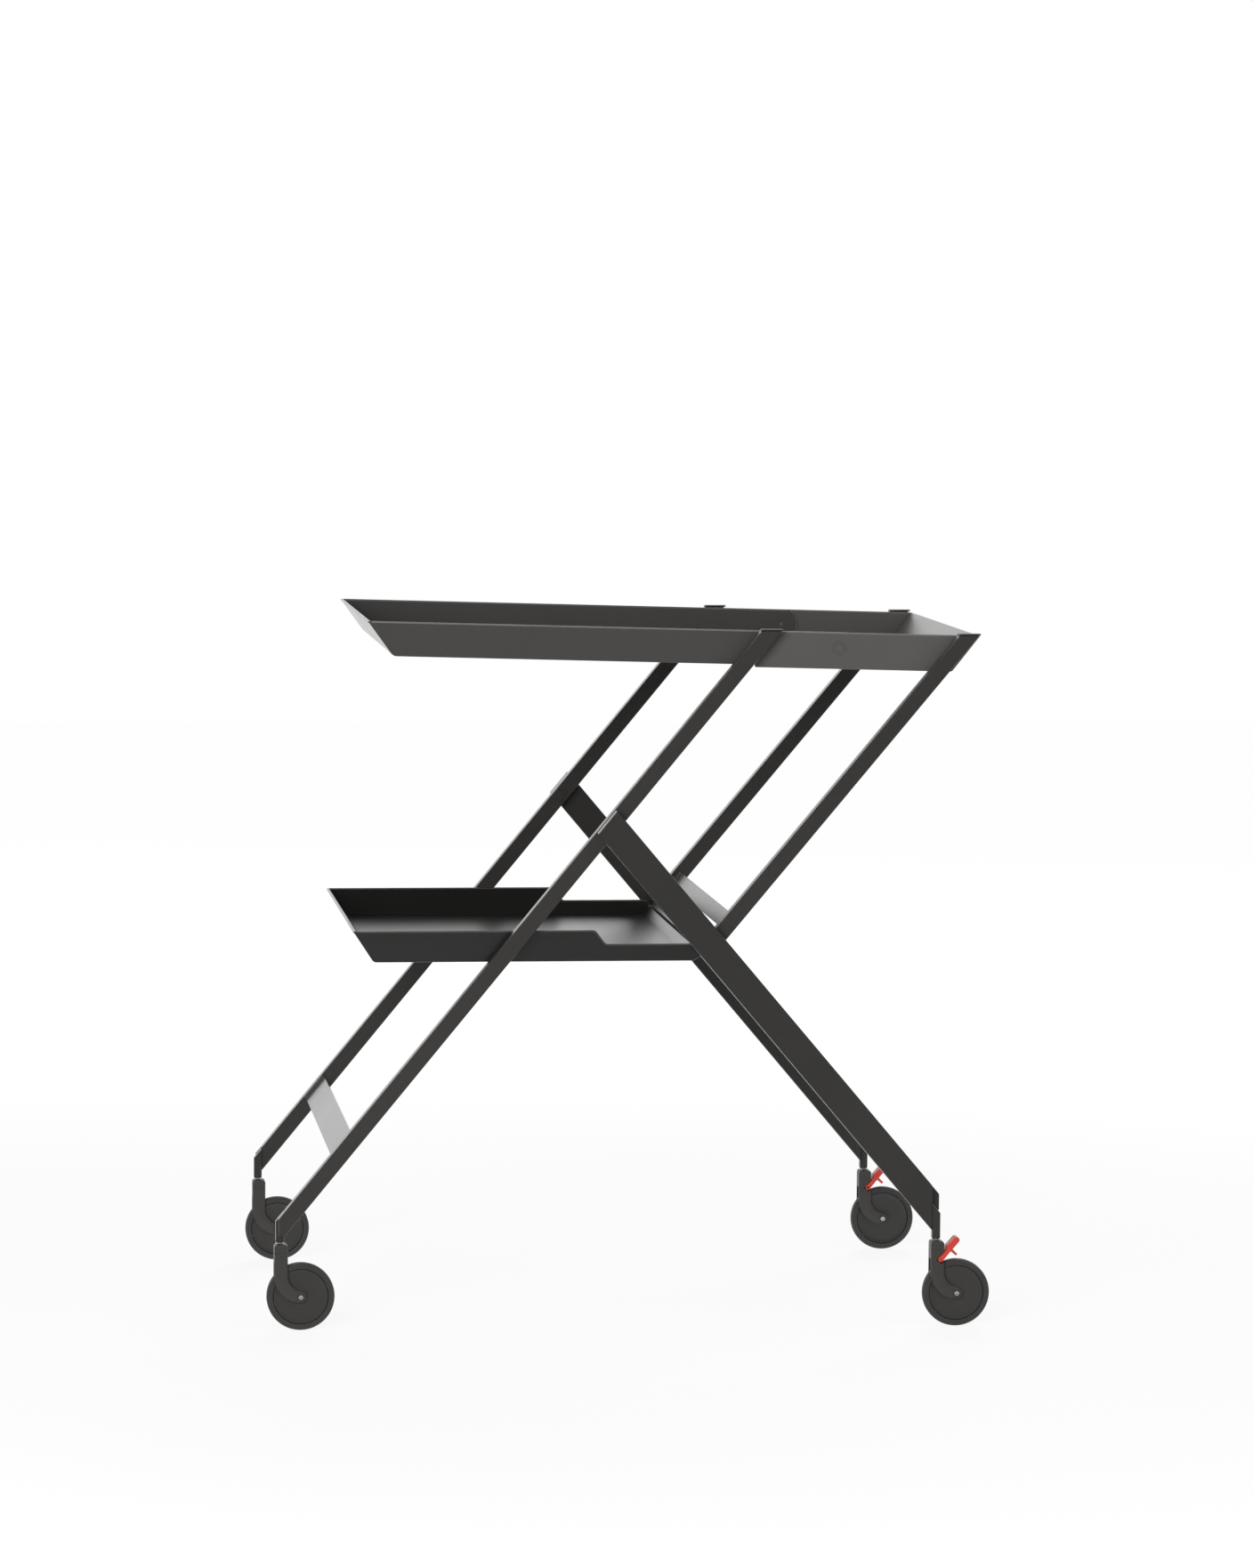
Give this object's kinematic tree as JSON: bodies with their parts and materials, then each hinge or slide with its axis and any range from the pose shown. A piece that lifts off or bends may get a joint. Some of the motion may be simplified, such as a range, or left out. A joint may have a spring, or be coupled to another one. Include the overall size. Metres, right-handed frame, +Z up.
{
  "type": "folding serving trolley",
  "caption": "Folding serving trolley with two shallow trays on crossed legs, swivel casters and press-down wheel brakes.",
  "frame": {"origin": "on the floor, under the middle of the box that holds the trolley at rest", "axes": "+Z up, +X to the braked rear end, +Y to the far side; the picture shows the -Y side"},
  "size_m": [0.695, 0.4584, 0.6774],
  "materials": {
    "frame_paint": "satin black powder coat",
    "tray_paint": "satin black powder coat",
    "caps": "matt black",
    "fork_plastic": "matt black nylon",
    "wheel_plastic": "matt black nylon",
    "tyre": "smooth rubber",
    "lever_plastic": "red nylon",
    "bright_steel": "bright",
    "dark_steel": "blackened"
  },
  "bodies": {
    "front_frame": {"front_cross_plate": "frame_paint", "front_bar_left": "frame_paint", "front_bar_right": "frame_paint", "front_bar_cap_left": "caps", "front_bar_cap_right": "caps", "front_stem_left": "frame_paint", "front_stem_right": "frame_paint", "swivel_pin_front_left": "bright_steel", "swivel_pin_front_right": "bright_steel", "main_pivot_pin_left": "dark_steel", "main_pivot_pin_right": "dark_steel", "tray_pivot_pin_left": "dark_steel", "tray_pivot_pin_right": "dark_steel"},
    "rear_legs": {"rear_leg_left": "frame_paint", "rear_leg_right": "frame_paint", "rear_stem_left": "frame_paint", "rear_stem_right": "frame_paint", "swivel_pin_rear_left": "bright_steel", "swivel_pin_rear_right": "bright_steel", "strut_foot_pin_left": "dark_steel", "strut_foot_pin_right": "dark_steel", "lower_tray_pin_left": "dark_steel", "lower_tray_pin_right": "dark_steel"},
    "rear_struts": {"strut_cross_plate": "frame_paint", "rear_strut_left": "frame_paint", "rear_strut_right": "frame_paint", "rear_strut_cap_left": "caps", "rear_strut_cap_right": "caps", "strut_head_pin_left": "dark_steel", "strut_head_pin_right": "dark_steel"},
    "top_tray_front": {"top_tray_front": "tray_paint", "tray_hinge_pin_left": "dark_steel", "tray_hinge_pin_right": "dark_steel"},
    "top_tray_rear": {"top_tray_rear": "tray_paint"},
    "lower_tray": {"lower_tray": "tray_paint"},
    "caster_front_left": {"caster_fork_front_left": "fork_plastic", "wheel_axle_front_left": "bright_steel"},
    "wheel_front_left": {"wheel_core_front_left": "wheel_plastic", "tyre_front_left": "tyre"},
    "caster_front_right": {"caster_fork_front_right": "fork_plastic", "wheel_axle_front_right": "bright_steel"},
    "wheel_front_right": {"wheel_core_front_right": "wheel_plastic", "tyre_front_right": "tyre"},
    "caster_rear_left": {"caster_fork_rear_left": "fork_plastic", "wheel_axle_rear_left": "bright_steel", "brake_pin_rear_left": "dark_steel"},
    "wheel_rear_left": {"wheel_core_rear_left": "wheel_plastic", "tyre_rear_left": "tyre"},
    "caster_rear_right": {"caster_fork_rear_right": "fork_plastic", "wheel_axle_rear_right": "bright_steel", "brake_pin_rear_right": "dark_steel"},
    "wheel_rear_right": {"wheel_core_rear_right": "wheel_plastic", "tyre_rear_right": "tyre"},
    "brake_lever_rear_left": {"brake_lever_rear_left": "lever_plastic"},
    "brake_lever_rear_right": {"brake_lever_rear_right": "lever_plastic"}
  },
  "joints": [
    {"name": "fold", "type": "hinge", "parent": "front_frame", "child": "rear_legs", "pos_m": [-0.02646, 0, 0.4762], "axis": [0, 1, 0], "range_deg": [0, 75]},
    {"name": "strut_fold", "type": "hinge", "parent": "rear_legs", "child": "rear_struts", "pos_m": [0.07594, 0, 0.36794], "axis": [0, 1, 0], "range_deg": [-75.3, 0]},
    {"name": "tray_fold", "type": "hinge", "parent": "front_frame", "child": "top_tray_front", "pos_m": [0.11188, 0, 0.64546], "axis": [0, 1, 0], "range_deg": [-50.6, 0]},
    {"name": "tray_rear_fold", "type": "hinge", "parent": "top_tray_front", "child": "top_tray_rear", "pos_m": [0.19866, 0, 0.65249], "axis": [0, 1, 0], "range_deg": [0, 157]},
    {"name": "lower_tray_fold", "type": "hinge", "parent": "rear_legs", "child": "lower_tray", "pos_m": [0.06738, 0, 0.36226], "axis": [0, 1, 0], "range_deg": [-118.5, 0]},
    {"name": "swivel_front_left", "type": "hinge", "parent": "front_frame", "child": "caster_front_left", "pos_m": [-0.335, -0.198, 0.083], "axis": [0, 0, 1], "continuous": true},
    {"name": "wheel_spin_front_left", "type": "hinge", "parent": "caster_front_left", "child": "wheel_front_left", "pos_m": [-0.315, -0.198, 0.0325], "axis": [0, 1, 0], "continuous": true},
    {"name": "swivel_front_right", "type": "hinge", "parent": "front_frame", "child": "caster_front_right", "pos_m": [-0.335, 0.198, 0.083], "axis": [0, 0, 1], "continuous": true},
    {"name": "wheel_spin_front_right", "type": "hinge", "parent": "caster_front_right", "child": "wheel_front_right", "pos_m": [-0.315, 0.198, 0.0325], "axis": [0, 1, 0], "continuous": true},
    {"name": "swivel_rear_left", "type": "hinge", "parent": "rear_legs", "child": "caster_rear_left", "pos_m": [0.29501, -0.22052, 0.083], "axis": [0, 0, 1], "continuous": true},
    {"name": "wheel_spin_rear_left", "type": "hinge", "parent": "caster_rear_left", "child": "wheel_rear_left", "pos_m": [0.315, -0.22052, 0.0325], "axis": [0, 1, 0], "continuous": true},
    {"name": "swivel_rear_right", "type": "hinge", "parent": "rear_legs", "child": "caster_rear_right", "pos_m": [0.29501, 0.22052, 0.083], "axis": [0, 0, 1], "continuous": true},
    {"name": "wheel_spin_rear_right", "type": "hinge", "parent": "caster_rear_right", "child": "wheel_rear_right", "pos_m": [0.315, 0.22052, 0.0325], "axis": [0, 1, 0], "continuous": true},
    {"name": "brake_press_left", "type": "hinge", "parent": "caster_rear_left", "child": "brake_lever_rear_left", "pos_m": [0.2992, -0.22052, 0.0652], "axis": [0, 1, 0], "range_deg": [0, 13]},
    {"name": "brake_press_right", "type": "hinge", "parent": "caster_rear_right", "child": "brake_lever_rear_right", "pos_m": [0.2992, 0.22052, 0.0652], "axis": [0, 1, 0], "range_deg": [0, 13]}
  ],
  "couplings": [
    {"joint": "strut_fold", "follows": "fold", "ratio": -1.0021},
    {"joint": "tray_fold", "follows": "fold", "ratio": -0.67205},
    {"joint": "tray_rear_fold", "follows": "fold", "ratio": 2.0916},
    {"joint": "lower_tray_fold", "follows": "fold", "ratio": -1.5773}
  ]
}
